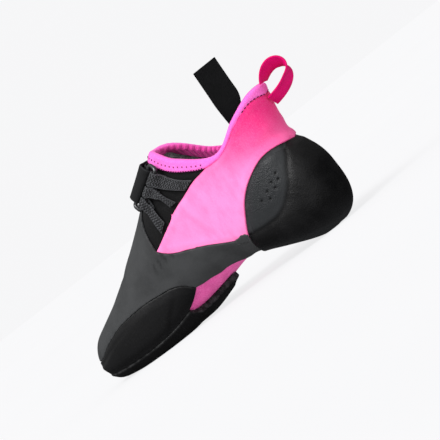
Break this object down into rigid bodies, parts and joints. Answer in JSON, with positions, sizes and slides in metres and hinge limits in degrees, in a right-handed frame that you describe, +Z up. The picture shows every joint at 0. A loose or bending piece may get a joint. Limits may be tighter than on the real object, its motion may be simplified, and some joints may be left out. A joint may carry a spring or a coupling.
{
  "type": "climbing shoe",
  "caption": "Low rubber-clad climbing shoe with a downturned forefoot, a heel cup, one strap through a ring, a collar tab and a heel loop.",
  "frame": {"origin": "middle of the bounding box at its bottom, on the plane that the sole and heel stand on", "axes": "+Z up, -X towards the toe, +X towards the heel, -Y the inner side of the foot (a right shoe)"},
  "size_m": [0.2438, 0.0832, 0.1286],
  "materials": {
    "stretch_sock": "black stretch fabric, matte",
    "footbed": "dark felted footbed",
    "sole_rubber": "smooth dense rubber, satin",
    "rand_rubber": "smooth thin rubber, satin",
    "vamp_rubber": "thin moulded rubber, matte",
    "heel_rubber": "moulded rubber, soft gloss",
    "pink_microfibre": "fine pink microfibre, matte",
    "pink_binding": "pink soft stretch binding",
    "dark_coated_steel": "dark coated wire, satin",
    "black_webbing": "black woven tape",
    "strap_webbing": "black hook-and-loop strap, matte",
    "magenta_tape": "magenta woven tape, slight sheen",
    "black_tape": "black woven tape, slight sheen"
  },
  "bodies": {
    "root": {"upper": "stretch_sock", "insole": "footbed", "outsole": "sole_rubber", "toe_rand": "rand_rubber", "vamp_rubber": "vamp_rubber", "heel_cup": "heel_rubber", "quarter": "pink_microfibre", "collar_binding": "pink_binding", "strap_ring": "dark_coated_steel", "ribbon_upper": "black_webbing", "ribbon_middle": "black_webbing", "ribbon_lower": "black_webbing", "closure_strap": "strap_webbing", "heel_pull_loop": "magenta_tape", "collar_pull_tab": "black_tape"}
  },
  "joints": []
}
